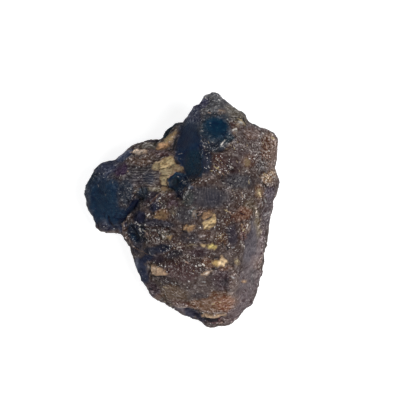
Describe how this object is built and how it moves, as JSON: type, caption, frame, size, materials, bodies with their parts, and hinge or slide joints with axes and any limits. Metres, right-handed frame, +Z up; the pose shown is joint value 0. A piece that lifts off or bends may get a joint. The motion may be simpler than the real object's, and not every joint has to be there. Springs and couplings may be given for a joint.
{
  "type": "rough sapphire",
  "caption": "Rough lump of dark sapphire with a rounded side lobe, stepped broken faces and a flat parting face that it lies on.",
  "frame": {"origin": "middle of the stone's length and width, on the plane of the flat face it lies on", "axes": "+Z up from the resting face, +Y along the stone from its blunt foot to its tip, +X to the right seen from above with the tip away from the viewer"},
  "size_m": [0.0487, 0.0558, 0.0317],
  "materials": {
    "rough_corundum": "broken crystalline corundum, brown and blue-black, with glassy cleaved faces and pale feldspar grains"
  },
  "bodies": {
    "root": {"rough_sapphire": "rough_corundum"}
  },
  "joints": []
}
